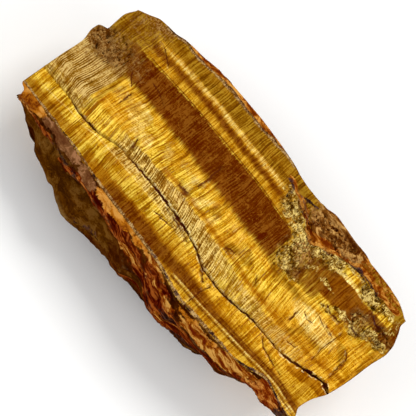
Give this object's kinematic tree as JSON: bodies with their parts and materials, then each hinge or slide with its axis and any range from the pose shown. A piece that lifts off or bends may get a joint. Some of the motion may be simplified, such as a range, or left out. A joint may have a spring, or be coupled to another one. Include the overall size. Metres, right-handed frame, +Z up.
{
  "type": "rough tiger's eye stone",
  "caption": "Rough block of tiger's eye: golden and brown fibre bands on a broken face, a long crack, and walls of ironstone and jasper.",
  "frame": {"origin": "middle of the bounding box, on the plane that the stone rests on", "axes": "+X along the bands, which is the longest way; +Y across the seam, along the fibres, from the red-brown wall to the rust wall; +Z up out of the fibre face"},
  "size_m": [0.1258, 0.0612, 0.0338],
  "materials": {
    "stone": "broken fibre seam, silky gold and brown bands, with smooth dark red-brown rind on two sides"
  },
  "bodies": {
    "root": {"tigers_eye_stone": "stone"}
  },
  "joints": []
}
